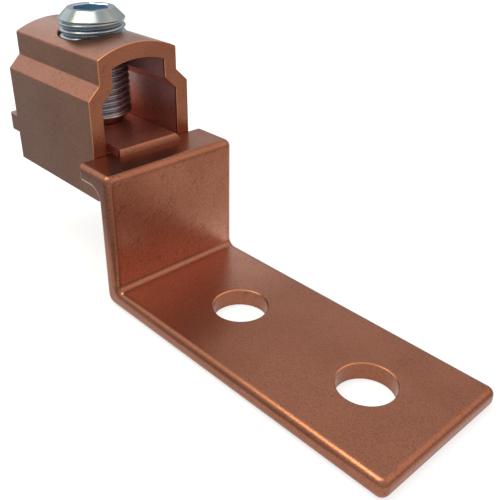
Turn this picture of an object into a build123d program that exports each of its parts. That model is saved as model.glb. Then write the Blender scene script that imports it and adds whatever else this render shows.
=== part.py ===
from build123d import *
import math
import os

# Sizes are in millimetres. X runs along the lug towards the pad's free end, Y across it, Z up.
# The origin is midway between the two bolt holes, on the underside of the pad.

# Tongue: one flat copper bar with rounded edges, bent twice at a right angle
bar_width = 25.4
bar_thickness = 3.0
edge_radius = 1.15
corner_radius = 1.25
leg_corner_radius = 0.9
rise = 20.1
leg_length = 7.85
crest_bend_radius = 1.3
back_bend_radius = 1.9
foot_bend_radius = 1.1
heel_bend_radius = 1.8

# Pad and its two bolt holes
bolt_hole_diameter = 8.75
bolt_hole_spacing = 25.4
riser_to_hole = 16.0
hole_to_end = 12.7
hole_rim_chamfer = 0.15

# Collar: a box section with sloping shoulders and an arched roof that is a little thicker than the walls
collar_length = 25.3
collar_width = 19.2
collar_upper_width = 14.85
collar_side_height = 16.7
shoulder_rise = 2.1
collar_height = 24.4
collar_wall = 2.4
collar_roof = 2.6
arch_radius = 16.6
ceiling_radius = 15.5
base_corner_radius = 0.2
inner_corner_radius = 0.3
shoulder_corner_radius = 0.25
arch_corner_radius = 0.45
face_edge_round = 0.15
hole_chamfer = 0.3

# Set screw: threaded all over, coned at both ends, with a hexagon socket
screw_diameter = 11.0
screw_length = 18.85
screw_end_diameter = 7.85
socket_across_flats = 5.55
socket_depth = 5.4
socket_point_angle = 118

# Seat plate: the strip that the wire is pressed on, square on one side and bevelled on the other
seat_width = 12.5
seat_thickness = 1.2
seat_bevel = 0.9
seat_overhang = 2.3
seat_end_radius = 0.3

# Head of the tongue's neck, behind the collar
head_width = 18.1
head_length = 4.05

# Clearances
neck_side_clearance = 0.3
neck_lift_gap = 2.15
collar_end_play = 0.1
thread_clearance = 0.05
tip_clearance = 0.1

# Workshop values: how far a cutter runs past a face, the largest share of a neighbouring radius or half wall
# that a rounded edge may take, and how near two places count as the same
cutter_overrun = 1.0
rounding_share = 0.95
same_place = 0.001

# Places that follow from the sizes
pad_end = bolt_hole_spacing / 2 + hole_to_end
riser_front = -(bolt_hole_spacing / 2 + riser_to_hole)
riser_back = riser_front - bar_thickness
leg_top = bar_thickness + rise
leg_underside = leg_top - bar_thickness
shoulder = riser_front - leg_length
collar_front = shoulder - collar_end_play
collar_rear = collar_front - collar_length
head_front = collar_rear - collar_end_play
head_rear = head_front - head_length
neck_width = collar_width - 2 * (collar_wall + neck_side_clearance)
collar_underside = leg_underside - neck_lift_gap - collar_wall
screw_x = (collar_front + collar_rear) / 2
screw_tip = leg_top + seat_thickness + tip_clearance
screw_top = screw_tip + screw_length
screw_cone = (screw_diameter - screw_end_diameter) / 2


def block(x_range, width, z_range):
    """Box between two X places and two Z places, centred across the lug."""
    return Box(
        x_range[1] - x_range[0],
        width,
        z_range[1] - z_range[0],
    ).moved(Location((sum(x_range) / 2, 0, sum(z_range) / 2)))


def round_plan_corners(body, x_end, width, radius, z_range):
    """Rounds the two upright corners of a bar's rear end with a cutter, so that its other edges stay as they are."""
    for side in (-1, 1):
        quarter = block((x_end, x_end + radius), radius, z_range)
        quarter = quarter.moved(Location((0, side * (width - radius) / 2, 0)))
        rod = Cylinder(radius, z_range[1] - z_range[0])
        body -= quarter - rod.moved(Location((x_end + radius, side * (width / 2 - radius), sum(z_range) / 2)))
    return body


def bent_bar():
    """The wide bar from the pad's end to the shoulder, with rounded edges along its sides and round the pad's end."""
    outline = FilletPolyline(
        (pad_end, 0),
        (pad_end, bar_thickness),
        (riser_front, bar_thickness),
        (riser_front, leg_top),
        (shoulder, leg_top),
        (shoulder, leg_underside),
        (riser_back, leg_underside),
        (riser_back, 0),
        radius=[0, 0, foot_bend_radius, crest_bend_radius, 0, 0, back_bend_radius, heel_bend_radius],
        close=True,
    )
    bar = extrude(Plane.XZ * make_face(outline), bar_width / 2, both=True)
    end_corners = bar.edges().filter_by(Axis.Z).group_by(Axis.X)[-1]
    bar = fillet(end_corners, corner_radius)

    rim = ShapeList()
    for edge in bar.edges():
        middle = edge @ 0.5
        on_side = abs(middle.Y) > bar_width / 2 - same_place
        on_pad_end = middle.X > pad_end - corner_radius
        at_shoulder = middle.X < shoulder + same_place
        upright_at_pad_end = on_pad_end and abs((edge @ 1).Z - (edge @ 0).Z) > same_place
        if (on_side or on_pad_end) and not (at_shoulder or upright_at_pad_end):
            rim.append(edge)
    widest = rounding_share * min(crest_bend_radius, heel_bend_radius, corner_radius, bar_thickness / 2)
    bar = fillet(rim, min(edge_radius, widest))
    return round_plan_corners(bar, shoulder, bar_width, leg_corner_radius, (leg_underside, leg_top))


def neck():
    """The narrow part of the tongue that the collar slides on."""
    bar = block((head_front, shoulder), neck_width, (leg_underside, leg_top))
    lower_edges = bar.edges().filter_by(Axis.X).group_by(Axis.Z)[0]
    return fillet(lower_edges, inner_corner_radius)


def head():
    """The wider end of the neck, which keeps the collar from sliding off."""
    plate = block((head_rear, head_front), head_width, (leg_underside, leg_top))
    rear_corners = plate.edges().filter_by(Axis.Z).group_by(Axis.X)[0]
    return fillet(rear_corners, leg_corner_radius)


def tongue():
    """Pad, riser, upper leg, and the neck with its head that holds the collar."""
    bar = bent_bar() + neck() + head()
    hole_radius = bolt_hole_diameter / 2
    drill = Cylinder(hole_radius, bar_thickness + 2 * cutter_overrun)
    for x in (-bolt_hole_spacing / 2, bolt_hole_spacing / 2):
        bar -= drill.moved(Location((x, 0, bar_thickness / 2)))
    rims = bar.edges().filter_by(GeomType.CIRCLE).filter_by(lambda e: abs(e.radius - hole_radius) < same_place)
    return chamfer(rims, hole_rim_chamfer)


def seat_plate():
    """Strip on the neck that the conductor is pressed against, longer than the collar at both ends."""
    half = seat_width / 2
    section = make_face(
        Polyline((-half, 0), (half, 0), (half - seat_bevel, seat_thickness), (-half, seat_thickness), close=True)
    )
    length = collar_length + 2 * seat_overhang
    strip = extrude(Plane.YZ * section, length).moved(Location((collar_rear - seat_overhang, 0, leg_top)))
    top_edges = strip.edges().filter_by(Axis.Y).group_by(Axis.Z)[-1]
    return fillet(top_edges, min(seat_end_radius, rounding_share * seat_thickness))


def collar_section(wall, roof, spring_radius, base_radius):
    """Face across the collar, inside its outer form by a wall and a roof, with its underside at zero."""
    lower = collar_width / 2 - wall
    upper = collar_upper_width / 2 - wall
    slope = math.atan2(shoulder_rise, (collar_width - collar_upper_width) / 2)
    slope_shift = wall * math.tan((math.pi / 2 - slope) / 2)
    eaves = collar_side_height - slope_shift
    crown = collar_height - roof
    spring = crown - spring_radius + math.sqrt(spring_radius**2 - upper**2)
    sides = Polyline(
        (-upper, spring),
        (-upper, eaves + shoulder_rise),
        (-lower, eaves),
        (-lower, wall),
        (lower, wall),
        (lower, eaves),
        (upper, eaves + shoulder_rise),
        (upper, spring),
    )
    arch = ThreePointArc((-upper, spring), (0, crown), (upper, spring))
    section = make_face([sides, arch])
    rows = section.vertices().group_by(Axis.Y)
    section = fillet(rows[-1], arch_corner_radius)
    section = fillet(section.vertices().group_by(Axis.Y)[0], base_radius)
    shoulders = section.vertices().filter_by(
        lambda v: min(abs(v.Y - eaves), abs(v.Y - eaves - shoulder_rise)) < same_place
    )
    return fillet(shoulders, shoulder_corner_radius)


def on_screw_hole(edge, hole_radius):
    """True for an edge that runs round the screw's hole, judged at both ends and the middle."""
    distances = [math.hypot((edge @ t).X - screw_x, (edge @ t).Y) for t in (0, 0.5, 1)]
    return all(abs(distance - hole_radius) < same_place for distance in distances)


def collar():
    """Box collar round the neck, open at both ends, with the screw's hole in its arched top."""
    base = Location((collar_rear, 0, collar_underside))
    outside = collar_section(0, 0, arch_radius, base_corner_radius)
    inside = collar_section(collar_wall, collar_roof, ceiling_radius, inner_corner_radius)
    ring = extrude(Plane.YZ * (outside - inside), collar_length).moved(base)
    ends = ring.faces().filter_by(Axis.X)
    ring = fillet(ends.edges(), face_edge_round)
    hole_radius = screw_diameter / 2 + thread_clearance
    drill_stop = collar_side_height - collar_wall
    hole = Cylinder(hole_radius, collar_height, align=(Align.CENTER, Align.CENTER, Align.MIN))
    ring -= hole.moved(Location((screw_x, 0, collar_underside + drill_stop)))
    mouth = ring.edges().filter_by(lambda e: on_screw_hole(e, hole_radius)).sort_by(Axis.Z)[-1]
    return chamfer(mouth, hole_chamfer)


def set_screw():
    """Set screw at its major diameter, coned at both ends, with a hexagon socket that has a drilled floor."""
    radius = screw_diameter / 2
    end_radius = screw_end_diameter / 2
    profile = make_face(
        Polyline(
            (0, screw_tip),
            (end_radius, screw_tip),
            (radius, screw_tip + screw_cone),
            (radius, screw_top - screw_cone),
            (end_radius, screw_top),
            (0, screw_top),
            close=True,
        )
    )
    body = revolve(Plane.XZ * profile, Axis.Z)
    across_corners = socket_across_flats / math.cos(math.pi / 6)
    hexagon = RegularPolygon(across_corners / 2, 6, rotation=90)
    socket = extrude(hexagon, -socket_depth).moved(Location((0, 0, screw_top)))
    point_depth = socket_across_flats / 2 / math.tan(math.radians(socket_point_angle / 2))
    point = Cone(0, socket_across_flats / 2, point_depth).moved(
        Location((0, 0, screw_top - socket_depth - point_depth / 2))
    )
    return (body - socket - point).moved(Location((screw_x, 0, 0)))


os.makedirs("parts", exist_ok=True)
export_step(tongue(), "parts/tongue.step")
export_step(seat_plate(), "parts/seat_plate.step")
export_step(collar(), "parts/collar.step")
export_step(set_screw(), "parts/set_screw.step")
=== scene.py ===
# %% [markdown]
# # A mechanical lug in copper
#
# A mechanical lug joins a thick wire to a flat metal pad without solder. The wire goes into the
# box-shaped collar, and the set screw presses it on a seat plate. This lesson starts from the packed
# solid model, which already has the right sizes, and gives it its looks: a camera, two metal finishes, a
# real screw thread, the sheared ends of the seat plate, and soft light.

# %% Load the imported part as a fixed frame
import math
import bmesh
import bpy
from mathutils import Matrix, Vector


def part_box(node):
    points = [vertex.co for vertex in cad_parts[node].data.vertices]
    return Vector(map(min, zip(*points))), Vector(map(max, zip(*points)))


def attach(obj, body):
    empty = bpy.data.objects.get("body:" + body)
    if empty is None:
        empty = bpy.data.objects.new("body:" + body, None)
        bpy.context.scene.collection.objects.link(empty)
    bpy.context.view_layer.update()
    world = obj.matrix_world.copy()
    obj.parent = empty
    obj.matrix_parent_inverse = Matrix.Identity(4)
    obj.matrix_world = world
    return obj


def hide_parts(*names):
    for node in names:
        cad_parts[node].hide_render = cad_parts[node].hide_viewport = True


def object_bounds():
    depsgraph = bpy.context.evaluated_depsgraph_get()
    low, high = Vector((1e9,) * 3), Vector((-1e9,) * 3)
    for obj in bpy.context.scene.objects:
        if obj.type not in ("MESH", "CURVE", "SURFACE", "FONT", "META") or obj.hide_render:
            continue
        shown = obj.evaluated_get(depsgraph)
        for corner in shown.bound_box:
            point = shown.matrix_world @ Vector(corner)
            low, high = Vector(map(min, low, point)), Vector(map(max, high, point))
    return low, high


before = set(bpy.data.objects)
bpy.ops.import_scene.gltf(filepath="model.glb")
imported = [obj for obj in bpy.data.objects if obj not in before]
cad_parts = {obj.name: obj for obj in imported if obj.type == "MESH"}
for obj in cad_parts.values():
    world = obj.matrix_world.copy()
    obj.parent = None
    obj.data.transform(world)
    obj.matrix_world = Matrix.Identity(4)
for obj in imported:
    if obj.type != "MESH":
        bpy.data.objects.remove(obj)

MM = 0.001
cad_low, cad_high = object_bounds()
for name, node in sorted(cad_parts.items()):
    print(f"{name}: {len(node.data.polygons)} faces from the solid model")

# %% [markdown]
# ## The camera
#
# The photo was taken from close by, so the pad at the front looks much larger than the collar behind it.
# A camera has to stand in the very same place to repeat that. Its place, its direction and its lens were
# worked out from the outlines in the photo. A lens of about 50 mm on a 36 mm sensor sees the same angle.

# %% Camera
CAMERA_PLACE = Vector((54.209, -62.994, 66.247)) * MM
CAMERA_RIGHT = Vector((0.688619, 0.724909, 0.017607))
CAMERA_UP = Vector((-0.373250, 0.333539, 0.865699))
CAMERA_LENS = 50.23
SENSOR_WIDTH = 36.0


def add_object(name, data):
    """Puts a mesh, a camera or a lamp into the scene as an object."""
    item = bpy.data.objects.new(name, data)
    bpy.context.scene.collection.objects.link(item)
    return item


def aimed(place, right, up):
    """The transform of a camera or lamp at a place, with its own right and up directions."""
    turned = Matrix((right, up, right.cross(up))).transposed()
    return Matrix.Translation(place) @ turned.to_4x4()


camera_data = bpy.data.cameras.new("camera")
camera_data.lens = CAMERA_LENS
camera_data.sensor_width = SENSOR_WIDTH
camera_data.clip_start = 0.005
camera_data.clip_end = 10.0
camera = add_object("camera", camera_data)
camera.matrix_world = aimed(CAMERA_PLACE, CAMERA_RIGHT, CAMERA_UP)
bpy.context.scene.camera = camera
print(f"camera {CAMERA_PLACE.length:.3f} m from the origin, lens {CAMERA_LENS} mm")

# %% [markdown]
# ## A small kit for node trees
#
# Materials and Geometry Nodes are both trees of nodes. A few short helpers keep the code that builds them
# readable: one adds a node and fills its inputs, and the others do steps of arithmetic. An input is
# either a plain value or the output of another node.

# %% Node helpers
def fill(tree, socket, value):
    """Links an output to a socket, or writes a plain value on it."""
    if isinstance(value, bpy.types.NodeSocket):
        tree.links.new(value, socket)
    else:
        socket.default_value = value


def add_node(tree, kind, settings=None, **inputs):
    """Adds a node. Settings are its properties, and each input is a value or another node's output."""
    node = tree.nodes.new(kind)
    for key, value in (settings or {}).items():
        setattr(node, key, value)
    for key, value in inputs.items():
        fill(tree, node.inputs[key.replace("_", " ")], value)
    return node


def compute(tree, operation, first, second=None):
    """One step of arithmetic, as a Math node."""
    node = tree.nodes.new("ShaderNodeMath")
    node.operation = operation
    fill(tree, node.inputs[0], first)
    if second is not None:
        fill(tree, node.inputs[1], second)
    return node.outputs[0]


def times(tree, *factors):
    """The product of any number of values."""
    product = factors[0]
    for factor in factors[1:]:
        product = compute(tree, "MULTIPLY", product, factor)
    return product


def at_least(tree, least, share):
    """A share from 0 to 1, squeezed so that it starts at a least value instead of 0."""
    return compute(tree, "ADD", least, times(tree, share, 1 - least))

# %% [markdown]
# ## Noise, steps and mixes
#
# A worn metal surface is a few patterns on top of each other. Each is noise: plain noise gives clouds and
# dots, and noise in a squeezed space gives scratches. A smooth step turns soft noise into marks with an
# edge. All of it reads Object coordinates, so the pattern is fixed to the metal and doesn't slide when a
# piece moves.

# %% Pattern helpers
def soft_noise(tree, place, scale, detail=2.0, roughness=0.5):
    """Noise from 0 to 1 at a number of features for each metre."""
    node = add_node(
        tree, "ShaderNodeTexNoise", Vector=place, Scale=scale, Detail=detail, Roughness=roughness
    )
    return node.outputs["Fac"]


def stretched_noise(tree, place, turn, stretch, scale):
    """Noise drawn out into streaks: the pattern is stretched and then turned."""
    mapping = add_node(
        tree, "ShaderNodeMapping", {"vector_type": "TEXTURE"}, Vector=place, Rotation=turn, Scale=stretch
    )
    return soft_noise(tree, mapping.outputs[0], scale)


def step_between(tree, value, start, end):
    """0 at the start value, 1 at the end value, and a smooth rise between them."""
    node = add_node(tree, "ShaderNodeMapRange", {"interpolation_type": "SMOOTHSTEP"})
    for key, number in (("Value", value), ("From Min", start), ("From Max", end)):
        fill(tree, node.inputs[key], number)
    return node.outputs[0]


def mix_colour(tree, share, first, second):
    """Mixes two colours by a share from 0 to 1."""
    node = add_node(tree, "ShaderNodeMix", {"data_type": "RGBA"})
    fill(tree, node.inputs[0], share)
    fill(tree, node.inputs[6], first)
    fill(tree, node.inputs[7], second)
    return node.outputs[2]


def new_material(name):
    """An empty node material, with its tree, its surface shader and the place on the object."""
    material = bpy.data.materials.new(name)
    material.use_nodes = True
    tree = material.node_tree
    tree.nodes.clear()
    shader = tree.nodes.new("ShaderNodeBsdfPrincipled")
    output = tree.nodes.new("ShaderNodeOutputMaterial")
    tree.links.new(shader.outputs[0], output.inputs["Surface"])
    place = tree.nodes.new("ShaderNodeTexCoord").outputs["Object"]
    return material, tree, shader, place


def coordinates(tree, place):
    """The X, Y and Z of a place."""
    return add_node(tree, "ShaderNodeSeparateXYZ", Vector=place).outputs

# %% [markdown]
# ## Painted light inside the collar and at the foot
#
# Inside the collar the copper gets a brighter colour. This is painted light, standing in for the light that
# bounces round inside it. In the bend at the riser's foot it also gets a brighter colour, a painted
# reflection of the riser and the pad in each other. Two small functions give that share by place: one for
# the room inside the collar, and one for a soft patch round the bend.

# %% Inside the collar
WALL_FADE = (2.2 * MM, 2.35 * MM)
END_FADE = (0.3 * MM, 0.5 * MM)
ROOF_FADE = (2.4 * MM, 2.55 * MM)


def inside_collar(tree, place, reach):
    """1 inside the collar and as far as reach in front of it, and 0 elsewhere."""
    at = coordinates(tree, place)
    low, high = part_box("collar")
    front = high.x + reach
    sideways = compute(tree, "ABSOLUTE", at["Y"])
    inside = step_between(tree, sideways, high.y - WALL_FADE[0], high.y - WALL_FADE[1])
    for value, start, end in (
        (at["X"], low.x + END_FADE[0], low.x + END_FADE[1]),
        (at["X"], front - END_FADE[0], front - END_FADE[1]),
        (at["Z"], high.z - ROOF_FADE[0], high.z - ROOF_FADE[1]),
    ):
        inside = times(tree, inside, step_between(tree, value, start, end))
    return inside

# %% [markdown]
# The painted reflection at the foot fades with the distance from the bend. It reaches further up the riser
# on its -Y side than on its +Y side. It leaves out the round of the bend itself, the bar's rounded rims and
# the walls of the holes.

# %% Near the riser's foot
FOOT_X = -28.7 * MM
FOOT_Z = 3.0 * MM
FOOT_REACH = 20.0 * MM
RISER_STRETCH = 0.5
RISER_LEAN = 60.0
BEND_RADIUS = 1.1 * MM
BEND_FADE = (0.7 * BEND_RADIUS, 1.1 * BEND_RADIUS)
HALF_WIDTH = 12.7 * MM
RIM_FADE = (HALF_WIDTH - 0.4 * MM, HALF_WIDTH - 1.6 * MM)
HOLE_FADE = (FOOT_Z - 0.30 * MM, FOOT_Z - 0.15 * MM)


def near_foot(tree, place):
    """1 on the pad and the riser next to the bend, fading out with the distance: where the painted
    reflection goes.
    """
    at = coordinates(tree, place)
    along = compute(tree, "SUBTRACT", at["X"], FOOT_X)
    above = compute(tree, "SUBTRACT", at["Z"], FOOT_Z)
    across = compute(tree, "ADD", at["Y"], HALF_WIDTH)
    squares = compute(tree, "ADD", times(tree, along, along), times(tree, above, above, RISER_STRETCH))
    leaning = times(tree, above, across, RISER_LEAN)
    away = compute(tree, "ADD", compute(tree, "SQRT", squares), leaning)
    share = step_between(tree, away, FOOT_REACH, 0.0)
    flat = step_between(tree, compute(tree, "MAXIMUM", along, above), *BEND_FADE)
    off_rims = step_between(tree, compute(tree, "ABSOLUTE", at["Y"]), *RIM_FADE)
    off_holes = step_between(tree, at["Z"], *HOLE_FADE)
    return times(tree, share, flat, off_rims, off_holes)

# %% [markdown]
# ## Painted highlights on the edges
#
# A few edges get a brighter, more orange colour. This is a painted highlight, standing in for the glints of
# light on their rounding. These are the edges of the sawn collar, the mouth of its screw hole and the rims
# of the bolt holes. Each is found by its place again.

# %% Places of the painted edge highlights
SAWN_EDGE = (0.16 * MM, 0.12 * MM)
SAWN_FACE = (0.004 * MM, 0.015 * MM)
MOUTH_RADIUS = (5.95 * MM, 5.75 * MM)
MOUTH_BELOW_TOP = (4.0 * MM, 3.5 * MM)
HOLE_X = 12.7 * MM
HOLE_RADIUS = 4.375 * MM
HOLE_RIM = (HOLE_RADIUS + 0.19 * MM, HOLE_RADIUS + 0.13 * MM)
HOLE_RIM_Z = (FOOT_Z - 0.16 * MM, FOOT_Z - 0.12 * MM)


def from_axis(tree, x, y):
    """The distance from an upright axis."""
    return compute(tree, "SQRT", compute(tree, "ADD", times(tree, x, x), times(tree, y, y)))


def collar_painted_highlight(tree, place):
    """1 on the rounded edges of both sawn ends and in the mouth of the screw hole."""
    at = coordinates(tree, place)
    low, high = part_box("collar")
    half = (high.x - low.x) / 2
    from_middle = compute(tree, "ABSOLUTE", compute(tree, "SUBTRACT", at["X"], (low.x + high.x) / 2))
    edge = step_between(tree, from_middle, half - SAWN_EDGE[0], half - SAWN_EDGE[1])
    off_face = step_between(tree, from_middle, half - SAWN_FACE[0], half - SAWN_FACE[1])
    hole_low, hole_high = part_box("set_screw")
    from_hole = compute(tree, "SUBTRACT", at["X"], (hole_low.x + hole_high.x) / 2)
    round_hole = step_between(tree, from_axis(tree, from_hole, at["Y"]), *MOUTH_RADIUS)
    at_top = step_between(tree, at["Z"], high.z - MOUTH_BELOW_TOP[0], high.z - MOUTH_BELOW_TOP[1])
    return compute(tree, "MAXIMUM", times(tree, edge, off_face), times(tree, round_hole, at_top))


def rim_painted_highlight(tree, place):
    """1 on the upper rims of the two bolt holes."""
    at = coordinates(tree, place)
    along = compute(tree, "SUBTRACT", compute(tree, "ABSOLUTE", at["X"]), HOLE_X)
    rim = step_between(tree, from_axis(tree, along, at["Y"]), *HOLE_RIM)
    return times(tree, rim, step_between(tree, at["Z"], *HOLE_RIM_Z))


def no_painted_highlight(tree, place):
    """0 everywhere, for a piece without painted edge highlights."""
    return 0.0

# %% [markdown]
# ## The copper finish
#
# The real lug is bare copper that was tumbled with others. It shines softly, with fine dark specks and
# short scratches. Specks and scratches come in patches, because parts knock against each other in some
# places more than in others, and the pad has fewer scratches than what stands above it.

# %% Specks and scratches
PATCH_SCALE = 260.0
GRAIN_SCALE = 3600.0
SPECK_SCALE = 3000.0
STREAK = (9.0, 1.0, 1.0)
STEEP_TURN = (0.0, -0.68, 1.35)
STEEP_SCALE = 2600.0
LEVEL_TURN = (0.0, -0.10, 0.30)
LEVEL_SCALE = 1900.0
KNOCKED_FROM = (3.5 * MM, 9.0 * MM)


def copper_marks(tree, place, height, scratch_share, speck_share):
    """The grain, the specks and the scratches of tumbled copper, each from 0 to 1."""
    patches = step_between(tree, soft_noise(tree, place, PATCH_SCALE, detail=3.0), 0.40, 0.66)
    grain = soft_noise(tree, place, GRAIN_SCALE, detail=3.0, roughness=0.7)
    dots = step_between(tree, soft_noise(tree, place, SPECK_SCALE, roughness=0.6), 0.56, 0.72)
    specks = times(tree, dots, at_least(tree, 0.25, patches), speck_share)
    steep = step_between(tree, stretched_noise(tree, place, STEEP_TURN, STREAK, STEEP_SCALE), 0.58, 0.68)
    level = step_between(tree, stretched_noise(tree, place, LEVEL_TURN, STREAK, LEVEL_SCALE), 0.62, 0.72)
    streaks = compute(tree, "MAXIMUM", steep, level)
    knocked = at_least(tree, 0.3, step_between(tree, height, *KNOCKED_FROM))
    scratches = times(tree, streaks, at_least(tree, 0.1, patches), knocked, scratch_share)
    return grain, specks, scratches

# %% [markdown]
# Bare metal has no colour of its own apart from what it reflects, so the base colour is the colour of its
# reflections. It is built up in steps: first the copper itself, then a brighter colour inside the collar
# and at the foot (painted light and a painted reflection), then the grain and the marks, and last a painted
# highlight on some edges.

# %% Copper
COPPER_BRIGHT = (0.315, 0.124, 0.075, 1.0)
COPPER_DEEP = (0.280, 0.107, 0.064, 1.0)
COPPER_SPECK = (0.105, 0.034, 0.022, 1.0)
COPPER_PAINTED_LIGHT_LOW = (0.70, 0.27, 0.195, 1.0)
COPPER_PAINTED_LIGHT_HIGH = (0.95, 0.57, 0.55, 1.0)
COPPER_PAINTED_REFLECTION = (0.47, 0.22, 0.155, 1.0)
COPPER_PAINTED_HIGHLIGHT = (0.52, 0.21, 0.10, 1.0)
CLOUD_SCALE = 110.0
PAINTED_LIGHT_HEIGHTS = (26.0 * MM, 33.0 * MM)
PAINTED_LIGHT_SHARE = 0.9
GRAIN_SHARE = 0.42


def copper_colour(tree, place, height, inside, grain, marks):
    """The colour of the copper, from the bare metal up to its marks, with painted light inside the collar
    and a painted reflection at the foot.
    """
    clouds = step_between(tree, soft_noise(tree, place, CLOUD_SCALE), 0.3, 0.7)
    colour = mix_colour(tree, clouds, COPPER_DEEP, COPPER_BRIGHT)
    # Painted reflection: brighter copper round the bend, where the riser and the pad mirror each other.
    colour = mix_colour(tree, near_foot(tree, place), colour, COPPER_PAINTED_REFLECTION)
    # Painted light: the copper inside the collar is brighter, and brighter still towards its roof, for the
    # light that bounces round inside.
    upper = step_between(tree, height, *PAINTED_LIGHT_HEIGHTS)
    painted_inside_light = mix_colour(tree, upper, COPPER_PAINTED_LIGHT_LOW, COPPER_PAINTED_LIGHT_HIGH)
    colour = mix_colour(tree, times(tree, inside, PAINTED_LIGHT_SHARE), colour, painted_inside_light)
    dark_grain = times(tree, step_between(tree, grain, 0.42, 0.72), GRAIN_SHARE)
    colour = mix_colour(tree, dark_grain, colour, COPPER_SPECK)
    return mix_colour(tree, marks, colour, COPPER_SPECK)

# %% [markdown]
# The three copper pieces share one recipe. They differ in how many marks they have, in where they get
# painted edge highlights and in how dull they are inside the collar. The seat plate counts as inside a
# little way in front of the collar too, so the painted inner light reaches there.

# %% Three pieces of copper
COPPER_ROUGHNESS = 0.25
COPPER_BUMP = 0.14
COPPER_BUMP_DEPTH = 0.05 * MM


def copper(name, scratch_share, speck_share, dull_inside, painted_highlight, reach=0.0):
    """Satin copper with clouds, grain, patches of specks and scratches, painted light inside the collar, a
    painted reflection at the foot and painted highlights on some edges.
    """
    material, tree, shader, place = new_material(name)
    inside = inside_collar(tree, place, reach)
    height = coordinates(tree, place)["Z"]
    grain, specks, scratches = copper_marks(tree, place, height, scratch_share, speck_share)
    marks = compute(tree, "MAXIMUM", specks, scratches)
    colour = copper_colour(tree, place, height, inside, grain, marks)
    # Painted highlight: brighter, more orange copper on the edges that this function gives.
    colour = mix_colour(tree, painted_highlight(tree, place), colour, COPPER_PAINTED_HIGHLIGHT)

    roughness = COPPER_ROUGHNESS
    for pattern, share in ((grain, 0.10), (specks, 0.2), (inside, 0.12)):
        roughness = compute(tree, "ADD", roughness, times(tree, pattern, share))
    relief = compute(tree, "SUBTRACT", times(tree, grain, 0.6), marks)
    bump = add_node(
        tree, "ShaderNodeBump", Strength=COPPER_BUMP, Distance=COPPER_BUMP_DEPTH, Height=relief
    )
    metallic = compute(tree, "SUBTRACT", 1.0, times(tree, inside, dull_inside))
    fill(tree, shader.inputs["Base Color"], colour)
    fill(tree, shader.inputs["Roughness"], roughness)
    fill(tree, shader.inputs["Normal"], bump.outputs[0])
    fill(tree, shader.inputs["Metallic"], metallic)
    return material


tongue_copper = copper(
    "tongue copper", scratch_share=0.60, speck_share=0.6, dull_inside=0.1, painted_highlight=rim_painted_highlight
)
collar_copper = copper(
    "collar copper", scratch_share=0.30, speck_share=0.7, dull_inside=0.2, painted_highlight=collar_painted_highlight
)
seat_copper = copper(
    "seat copper", scratch_share=0.35, speck_share=0.5, dull_inside=0.04, painted_highlight=no_painted_highlight, reach=2.0 * MM
)
copper_nodes = {"tongue": tongue_copper, "collar": collar_copper, "seat_plate": seat_copper}
for node_name, material in copper_nodes.items():
    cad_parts[node_name].material_slots[0].material = material
    print(f"{node_name} is {material.name}, {len(material.node_tree.nodes)} nodes")

# %% [markdown]
# ## The zinc finish
#
# The screw is steel with a thin bright layer of zinc, which is slightly blue. It is smoother than the
# copper and reflects the room more sharply. In the thread's grooves it is rougher and gets a bluer colour,
# a painted blue reflection. The socket gets a bright blue colour, painted light for the blue glow seen deep
# inside it. Low down on the shank, inside the collar, a warmer and brighter colour is a painted reflection
# of the copper round it. Two attributes on the mesh tell the grooves and the socket from the rest.

# %% Zinc
ZINC_LIGHT = (0.30, 0.315, 0.305, 1.0)
ZINC_BLUE = (0.245, 0.275, 0.29, 1.0)
ZINC_PAINTED_GROOVE_BLUE = (0.25, 0.31, 0.39, 1.0)
ZINC_PAINTED_SOCKET_LIGHT = (0.61, 0.79, 0.94, 1.0)
ZINC_PAINTED_COPPER_REFLECTION = (0.39, 0.36, 0.38, 1.0)
ZINC_REFLECTION_HEIGHTS = (38.0 * MM, 30.0 * MM)
ZINC_ROUGHNESS = 0.16
ZINC_BUMP = 0.06
ZINC_BUMP_DEPTH = 0.04 * MM


def zinc(name):
    """Bright zinc plating, with a faint blue haze and fine grain, and painted light and reflections in the
    grooves, in the socket and low down.
    """
    material, tree, shader, place = new_material(name)
    haze = soft_noise(tree, place, 260.0, detail=3.0)
    grain = soft_noise(tree, place, 2600.0, detail=3.0)
    copper_reflection_share = step_between(tree, coordinates(tree, place)["Z"], *ZINC_REFLECTION_HEIGHTS)
    recess = add_node(tree, "ShaderNodeAttribute", {"attribute_name": "recess"}).outputs["Fac"]
    socket = add_node(tree, "ShaderNodeAttribute", {"attribute_name": "socket"}).outputs["Fac"]
    colour = mix_colour(tree, step_between(tree, haze, 0.35, 0.75), ZINC_LIGHT, ZINC_BLUE)
    # Painted light and reflections: warmer and brighter low down, bluer in the grooves, bright blue in the
    # socket.
    for share, tint in ((copper_reflection_share, ZINC_PAINTED_COPPER_REFLECTION), (recess, ZINC_PAINTED_GROOVE_BLUE), (socket, ZINC_PAINTED_SOCKET_LIGHT)):
        colour = mix_colour(tree, share, colour, tint)
    roughness = ZINC_ROUGHNESS
    for pattern, share in ((grain, 0.12), (recess, 0.10)):
        roughness = compute(tree, "ADD", roughness, times(tree, pattern, share))
    bump = add_node(tree, "ShaderNodeBump", Strength=ZINC_BUMP, Distance=ZINC_BUMP_DEPTH, Height=grain)
    fill(tree, shader.inputs["Base Color"], colour)
    fill(tree, shader.inputs["Roughness"], roughness)
    fill(tree, shader.inputs["Normal"], bump.outputs[0])
    shader.inputs["Metallic"].default_value = 1.0
    return material


screw_zinc = zinc("screw zinc")
print(f"{screw_zinc.name}: {len(screw_zinc.node_tree.nodes)} nodes")

# %% [markdown]
# ## The set screw's thread
#
# A thread is a rule more than a shape: walk round the screw once, and the ridge has moved up by one
# pitch. So Geometry Nodes wrap a flat grid into a tube whose rows climb by one pitch for each turn, and
# move each point in or out by its place in the pitch. The cones at both ends are the same rule again: no
# point may stand outside them. One grid gives one clean, closed skin, which a ridge swept along a helix
# would not, because it would cut through the core.

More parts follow.
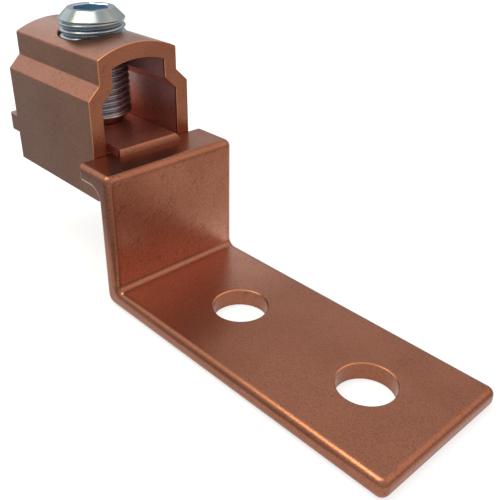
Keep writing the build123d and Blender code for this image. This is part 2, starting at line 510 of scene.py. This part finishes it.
# %% Thread inputs and grid
FLOAT_INPUTS = ("Radius", "End Radius", "Thread Depth", "Pitch", "Turns", "Bottom", "Length", "Start")
COUNT_INPUTS = ("Around", "Rows")


def thread_inputs(tree):
    face = tree.interface
    face.new_socket("Geometry", in_out="OUTPUT", socket_type="NodeSocketGeometry")
    for name in FLOAT_INPUTS:
        face.new_socket(name, in_out="INPUT", socket_type="NodeSocketFloat")
    for name in COUNT_INPUTS:
        face.new_socket(name, in_out="INPUT", socket_type="NodeSocketInt")
    return tree.nodes.new("NodeGroupInput").outputs


def unit_grid(tree, given):
    """A grid of one by one, and for each of its points the share of the way across and up."""
    columns, rows = given["Around"], given["Rows"]
    grid = add_node(
        tree, "GeometryNodeMeshGrid", Size_X=1.0, Size_Y=1.0, Vertices_X=columns, Vertices_Y=rows
    )
    at = coordinates(tree, tree.nodes.new("GeometryNodeInputPosition").outputs[0])
    across = compute(tree, "ADD", at["X"], 0.5)
    up = compute(tree, "ADD", at["Y"], 0.5)
    return grid.outputs["Mesh"], across, up


def set_position(tree, grid, x, y, z):
    """Moves the grid's points to a place worked out from their own place."""
    place = tree.nodes.new("ShaderNodeCombineXYZ")
    for socket, value in zip(place.inputs, (x, y, z)):
        fill(tree, socket, value)
    moved = add_node(tree, "GeometryNodeSetPosition", Geometry=grid, Position=place.outputs[0])
    return moved.outputs[0]

# %% [markdown]
# The groove is a wave between sharp crests, a little flatter at its bottom. It fades out where a cone
# begins. Its depth is kept as an attribute too, for the zinc.

# %% Thread tree
GROOVE_POWER = 1.4
RUN_OUT = 0.35


def thread_profile(tree, given, upwards, height):
    """The screw's radius at a height, and how deep its groove is there."""
    wave = compute(tree, "FRACT", compute(tree, "ADD", upwards, given["Start"]))
    ridge = compute(tree, "ABSOLUTE", compute(tree, "SUBTRACT", times(tree, wave, 2.0), 1.0))
    groove = compute(tree, "POWER", compute(tree, "SUBTRACT", 1.0, ridge), GROOVE_POWER)
    cone_height = compute(tree, "SUBTRACT", given["Radius"], given["End Radius"])
    to_top = compute(tree, "SUBTRACT", given["Length"], height)
    to_end = compute(tree, "MINIMUM", height, to_top)
    past_cone = compute(tree, "SUBTRACT", to_end, cone_height)
    run_out = step_between(tree, past_cone, 0.0, times(tree, given["Pitch"], RUN_OUT))
    depth = times(tree, groove, run_out, given["Thread Depth"])
    threaded = compute(tree, "SUBTRACT", given["Radius"], depth)
    cone = compute(tree, "ADD", given["End Radius"], to_end)
    return compute(tree, "MINIMUM", threaded, cone), depth


def thread_tree(material):
    """Tube with a right-hand thread between two cones, open at both ends."""
    tree = bpy.data.node_groups.new("threaded shank", "GeometryNodeTree")
    given = thread_inputs(tree)
    grid, turn, up = unit_grid(tree, given)
    upwards = times(tree, up, given["Turns"])
    climbed = compute(tree, "SUBTRACT", compute(tree, "ADD", upwards, turn), 1.0)
    height = compute(tree, "MINIMUM", times(tree, climbed, given["Pitch"]), given["Length"])
    height = compute(tree, "MAXIMUM", height, 0.0)
    radius, depth = thread_profile(tree, given, upwards, height)

    angle = times(tree, turn, 2 * math.pi)
    x = times(tree, radius, compute(tree, "COSINE", angle))
    y = times(tree, radius, compute(tree, "SINE", angle))
    z = compute(tree, "ADD", height, given["Bottom"])
    share = compute(tree, "DIVIDE", depth, given["Thread Depth"])
    kept = add_node(tree, "GeometryNodeStoreNamedAttribute", Geometry=grid, Name="recess", Value=share)
    tube = set_position(tree, kept.outputs[0], x, y, z)
    whole = add_node(tree, "GeometryNodeRealizeInstances", Geometry=tube).outputs[0]
    painted = add_node(tree, "GeometryNodeSetMaterial", Geometry=whole, Material=material).outputs[0]
    out = tree.nodes.new("NodeGroupOutput")
    tree.links.new(painted, out.inputs[0])
    return tree

# %% [markdown]
# The modifier takes the sizes by name from a table here. Blender keeps each input under an identifier, so
# the name is looked up in the tree first. The result is then copied as a plain mesh.

# %% Threaded shank
AROUND = 96
ROWS_PER_PITCH = 12
END_RADIUS = 3.925 * MM
THREAD_DEPTH = 0.66 * MM
THREAD_PITCH = 1.058 * MM
THREAD_START = 0.075


def run_tree(name, tree, sizes):
    """Runs a Geometry Nodes tree once with these inputs, and returns its result as a plain mesh."""
    holder = add_object(name, bpy.data.meshes.new(name))
    modifier = holder.modifiers.new(name, "NODES")
    modifier.node_group = tree
    for item in tree.interface.items_tree:
        if item.in_out == "INPUT" and item.name in sizes:
            modifier[item.identifier] = sizes[item.name]
    graph = bpy.context.evaluated_depsgraph_get()
    mesh = bpy.data.meshes.new_from_object(holder.evaluated_get(graph))
    holder.modifiers.remove(modifier)
    bpy.data.objects.remove(holder)
    return mesh


screw_low, screw_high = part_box("set_screw")
screw_axis = (screw_low + screw_high) / 2
screw_length = screw_high.z - screw_low.z
turns = math.ceil(screw_length / THREAD_PITCH) + 1
shank = run_tree("shank", thread_tree(screw_zinc), {
    "Radius": (screw_high.x - screw_low.x) / 2,
    "End Radius": END_RADIUS,
    "Thread Depth": THREAD_DEPTH,
    "Pitch": THREAD_PITCH,
    "Turns": turns,
    "Bottom": screw_low.z,
    "Length": screw_length,
    "Start": THREAD_START,
    "Around": AROUND + 1,
    "Rows": turns * ROWS_PER_PITCH + 1,
})
print(f"shank: {len(shank.vertices)} points, {screw_length / THREAD_PITCH:.1f} turns")

# %% [markdown]
# ## The screw's ends
#
# The top has a hexagon socket, and the tip is flat. Both are rings of points that step inwards and down:
# a round ring first, then hexagon rings for the socket, and a cone that the drill left. Each ring has as
# many points as the shank, so the rings join without gaps.

# %% Rings of points
def round_ring(bm, radius, z):
    """A ring of points round the screw's axis."""
    step = 2 * math.pi / AROUND
    points = []
    for i in range(AROUND):
        points.append(bm.verts.new((radius * math.cos(i * step), radius * math.sin(i * step), z)))
    return points


def hexagon_ring(bm, across, z):
    """The same number of points, on a hexagon with two corners on the Y axis."""
    points = []
    for i in range(AROUND):
        angle = 2 * math.pi * i / AROUND
        from_flat = (angle + math.pi / 6) % (math.pi / 3) - math.pi / 6
        radius = across / 2 / math.cos(from_flat)
        points.append(bm.verts.new((radius * math.cos(angle), radius * math.sin(angle), z)))
    return points


def bridge(bm, outer, inner):
    """Faces between two rings with the same number of points."""
    for i in range(len(outer)):
        j = (i + 1) % len(outer)
        bm.faces.new((outer[i], outer[j], inner[j], inner[i]))


def close_to_point(bm, ring, z):
    """Faces from a ring to one point on the axis."""
    tip = bm.verts.new((0, 0, z))
    for i in range(len(ring)):
        bm.faces.new((ring[i], ring[(i + 1) % len(ring)], tip))

# %% [markdown]
# The rings and the shank go into one mesh. Points that lie on each other are merged, which closes the
# skin, and the faces are turned outwards. The socket's points get their attribute on the way.

# %% Ends and socket
SOCKET_ACROSS = 5.55 * MM
SOCKET_DEPTH = 5.4 * MM
SOCKET_RIM = 0.12 * MM
DRILL_SLOPE = math.radians(31)
MERGE_DISTANCE = 0.002 * MM


def build_screw(shank_mesh):
    """Joins the shank with its two ends into one closed skin."""
    bm = bmesh.new()
    bm.from_mesh(shank_mesh)
    socket = bm.verts.layers.float.new("socket")
    for face in bm.faces:
        face.smooth = True
    top = screw_high.z
    rings = [
        round_ring(bm, END_RADIUS, top),
        hexagon_ring(bm, SOCKET_ACROSS + 2 * SOCKET_RIM, top),
        hexagon_ring(bm, SOCKET_ACROSS, top - SOCKET_RIM),
        hexagon_ring(bm, SOCKET_ACROSS, top - SOCKET_DEPTH),
        round_ring(bm, SOCKET_ACROSS / 2, top - SOCKET_DEPTH),
    ]
    for outer, inner in zip(rings, rings[1:]):
        bridge(bm, outer, inner)
    for ring in rings[2:]:
        for vert in ring:
            vert[socket] = 1.0
    close_to_point(bm, rings[-1], top - SOCKET_DEPTH - SOCKET_ACROSS / 2 * math.tan(DRILL_SLOPE))
    close_to_point(bm, round_ring(bm, END_RADIUS, screw_low.z), screw_low.z)
    bmesh.ops.remove_doubles(bm, verts=bm.verts, dist=MERGE_DISTANCE)
    bmesh.ops.recalc_face_normals(bm, faces=bm.faces)
    bmesh.ops.translate(bm, vec=(screw_axis.x, screw_axis.y, 0), verts=bm.verts)
    mesh = bpy.data.meshes.new("threaded_screw")
    bm.to_mesh(mesh)
    bm.free()
    mesh.materials.clear()
    mesh.materials.append(screw_zinc)
    return mesh


screw = add_object("threaded_screw", build_screw(shank))
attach(screw, "set_screw")
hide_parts("set_screw")
print(f"screw: {len(screw.data.polygons)} faces")

# %% [markdown]
# ## The seat plate
#
# The strip under the wire was cut off with shears, which draw its top edge down and leave a slanting end.
# The solid model has the right size with plain ends. Here a bmesh takes the same section at a few places
# along the strip, and lets its top sink at both ends: first round a small radius, then straight down a
# slope.

# %% Seat plate
SEAT_BEVEL = 0.9 * MM
SIDE_LEAN = 0.3 * MM
SHEAR_RADIUS = 0.50 * MM
SHEAR_ANGLE = math.radians(68)
SHEAR_STEPS = 6
TIP_THICKNESS = 0.001 * MM
SHARP_ANGLE = math.radians(30)


def sheared_end(thickness):
    """How far the top has sunk at each distance from where the end begins to turn down."""
    points = []
    for i in range(SHEAR_STEPS + 1):
        angle = SHEAR_ANGLE * i / SHEAR_STEPS
        points.append((SHEAR_RADIUS * math.sin(angle), SHEAR_RADIUS * (1 - math.cos(angle))))
    along, sunk = points[-1]
    points.append((along + (thickness - sunk) / math.tan(SHEAR_ANGLE), thickness - TIP_THICKNESS))
    return points


def seat_stations(low, high):
    """Places along the strip, each with how far its top has sunk, from the rear end to the front end."""
    end = sheared_end(high.z - low.z)
    reach = end[-1][0]
    rear = [(low.x + reach - along, sunk) for along, sunk in reversed(end)]
    front = [(high.x - reach + along, sunk) for along, sunk in end]
    print(f"seat plate: each end slopes over {reach / MM:.2f} mm")
    return rear + front


def build_seat():
    """The strip as rings of four points, closed at both ends."""
    low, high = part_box("seat_plate")
    thickness = high.z - low.z
    bm = bmesh.new()
    rings = []
    for x, sunk in seat_stations(low, high):
        top = thickness - sunk
        bevelled = high.y - SEAT_BEVEL * top / thickness
        leaning = low.y + SIDE_LEAN * top / thickness
        outline = ((low.y, 0), (high.y, 0), (bevelled, top), (leaning, top))
        rings.append([bm.verts.new((x, y, low.z + z)) for y, z in outline])
    for first, second in zip(rings, rings[1:]):
        bridge(bm, first, second)
    bm.faces.new(rings[0])
    bm.faces.new(rings[-1])
    bmesh.ops.recalc_face_normals(bm, faces=bm.faces)
    mesh = bpy.data.meshes.new("sheared_seat_plate")
    bm.to_mesh(mesh)
    bm.free()
    mesh.materials.append(seat_copper)
    mesh.polygons.foreach_set("use_smooth", [True] * len(mesh.polygons))
    mesh.set_sharp_from_angle(angle=SHARP_ANGLE)
    return mesh


seat = add_object("sheared_seat_plate", build_seat())
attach(seat, "tongue")
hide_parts("seat_plate")
print(f"seat plate: {len(seat.data.polygons)} faces")

# %% [markdown]
# ## The floor
#
# The lug stands on a plain white floor that has no visible end. A floor that is lit up to white would
# need so much light that the metal burns out. So the floor glows by itself for the rays that end at the
# camera or that the metal mirrors, and only the rest of its white comes from the light. That rest is what
# the object's shadow takes away.

# %% Floor
FLOOR_GLOW = 0.70
FLOOR_COLOUR = (0.33, 0.33, 0.33, 1.0)
FLOOR_HALF_SIZE = 3.0
FLOOR_DROP = 0.05 * MM
WHITE = (1.0, 1.0, 1.0, 1.0)


def floor_material():
    """Matt white that glows for the camera and in reflections."""
    material, tree, shader, _ = new_material("floor white")
    shader.inputs["Base Color"].default_value = FLOOR_COLOUR
    shader.inputs["Roughness"].default_value = 0.9
    shader.inputs["Specular IOR Level"].default_value = 0.0
    shader.inputs["Emission Color"].default_value = WHITE
    ray = tree.nodes.new("ShaderNodeLightPath").outputs
    shown = compute(tree, "MAXIMUM", ray["Is Camera Ray"], ray["Is Glossy Ray"])
    shown = compute(tree, "MAXIMUM", shown, ray["Is Transmission Ray"])
    fill(tree, shader.inputs["Emission Strength"], times(tree, shown, FLOOR_GLOW))
    return material


bm = bmesh.new()
bmesh.ops.create_grid(bm, x_segments=1, y_segments=1, size=FLOOR_HALF_SIZE)
floor_mesh = bpy.data.meshes.new("floor")
bm.to_mesh(floor_mesh)
bm.free()
floor_mesh.materials.append(floor_material())
floor = add_object("floor", floor_mesh)
floor.location.z = -FLOOR_DROP
print(f"floor: {2 * FLOOR_HALF_SIZE:.0f} m wide")

# %% [markdown]
# ## Light
#
# Metal shows what stands round it, so the light matters as much as the finish. A wide soft lamp overhead
# gives the white patch on the screw's cone, and a long warm one draws the bright line along the pad's
# near edge. A cool one on the left lights the collar's side, and a warm one far to the right lights the
# two bends.

# %% Lamps
ALONG_PICTURE = (0.69, 0.72, 0.0)
middle = (cad_low + cad_high) / 2


def soft_lamp(name, place, wide, size, strength, colour):
    """A rectangular lamp aimed at the lug's middle, with its wide side along wide. Strength is radiance."""
    data = bpy.data.lights.new(name, "AREA")
    data.shape = "RECTANGLE"
    data.size, data.size_y = size
    data.energy = strength * size[0] * size[1] * math.pi
    data.color = colour
    lamp = add_object(name, data)
    back = (Vector(place) - middle).normalized()
    side = Vector(wide) - Vector(wide).dot(back) * back
    side.normalize()
    lamp.matrix_world = aimed(Vector(place), side, back.cross(side))
    lamp.visible_camera = False
    print(f"lamp {name}: {data.energy:.3f} W")


soft_lamp(
    "overhead",
    place=(-0.045, -0.09, 0.46),
    wide=ALONG_PICTURE,
    size=(0.32, 0.18),
    strength=3.0,
    colour=(1.0, 0.98, 0.90),
)
soft_lamp(
    "key",
    place=(-0.15, -0.15, 0.41),
    wide=(0.3, 1.0, 0.0),
    size=(0.26, 0.11),
    strength=6.5,
    colour=(1.0, 0.95, 0.58),
)
soft_lamp(
    "cool_side",
    place=(-0.44, -0.03, 0.24),
    wide=(0.0, 1.0, 0.0),
    size=(0.50, 0.26),
    strength=0.68,
    colour=(0.80, 0.95, 1.0),
)
soft_lamp(
    "far_side",
    place=(0.26, 0.24, 0.30),
    wide=(-0.7, 0.7, 0.0),
    size=(0.50, 0.42),
    strength=0.55,
    colour=(1.0, 0.62, 0.36),
)

# %% [markdown]
# A photographer lays cards round shiny metal to choose what it mirrors. Four flat cards on the floor do
# that here. Only reflections show them: they are hidden from the camera, give no light and cast no
# shadow.

# %% Cards for the reflections
CARD_HEIGHT = 0.2 * MM
CARDS = (
    ("cool_card", ((-42, -30), (-100, -2), (-300, 96), (-300, -300), (-42, -300)), (0.50, 0.61, 0.63)),
    ("dark_card", ((-42, -30), (-42, -300), (-5, -300), (-5, -48), (-30, -35)), (0.46, 0.45, 0.42)),
    ("near_card", ((-27, -17), (-30, -35), (-5, -48), (14, -50), (14, -17)), (0.50, 0.47, 0.42)),
    ("warm_card", ((28, 17), (0, 63), (-57, 170), (287, 382), (382, -96), (44, -13)), (0.85, 0.79, 0.70)),
)


def reflection_card(name, outline, colour):
    """A flat card on the floor that only reflections show. Its outline is in millimetres."""
    mesh = bpy.data.meshes.new(name)
    corners = [(x * MM, y * MM, CARD_HEIGHT) for x, y in outline]
    mesh.from_pydata(corners, [], [tuple(range(len(corners)))])
    material = bpy.data.materials.new(name)
    material.use_nodes = True
    tree = material.node_tree
    tree.nodes.clear()
    glow = add_node(tree, "ShaderNodeEmission", Color=(*colour, 1.0))
    output = tree.nodes.new("ShaderNodeOutputMaterial")
    tree.links.new(glow.outputs[0], output.inputs["Surface"])
    mesh.materials.append(material)
    card = add_object(name, mesh)
    for kind in ("camera", "diffuse", "transmission", "volume_scatter", "shadow"):
        setattr(card, f"visible_{kind}", False)


for name, outline, colour in CARDS:
    reflection_card(name, outline, colour)
print(f"{len(CARDS)} cards on the floor")

# %% [markdown]
# The rest of the light is the world, a plain room with a pale ceiling and dimmer walls. It grows brighter
# from the horizon upwards.

# %% World
WALL_LIGHT = 0.50
CEILING_LIGHT = 1.0
CEILING_FROM = 0.6
ROOM_COLOUR = (0.97, 1.0, 1.0, 1.0)

world = bpy.data.worlds.new("studio")
world.use_nodes = True
room = world.node_tree
towards = room.nodes.new("ShaderNodeTexCoord").outputs["Generated"]
upward = step_between(room, coordinates(room, towards)["Z"], 0.0, CEILING_FROM)
brighter = times(room, upward, CEILING_LIGHT - WALL_LIGHT)
background = room.nodes["Background"]
background.inputs["Color"].default_value = ROOM_COLOUR
fill(room, background.inputs["Strength"], compute(room, "ADD", brighter, WALL_LIGHT))
bpy.context.scene.world = world
bpy.context.scene.view_settings.view_transform = "Standard"
print(f"world from {WALL_LIGHT} at the walls to {CEILING_LIGHT} at the ceiling")
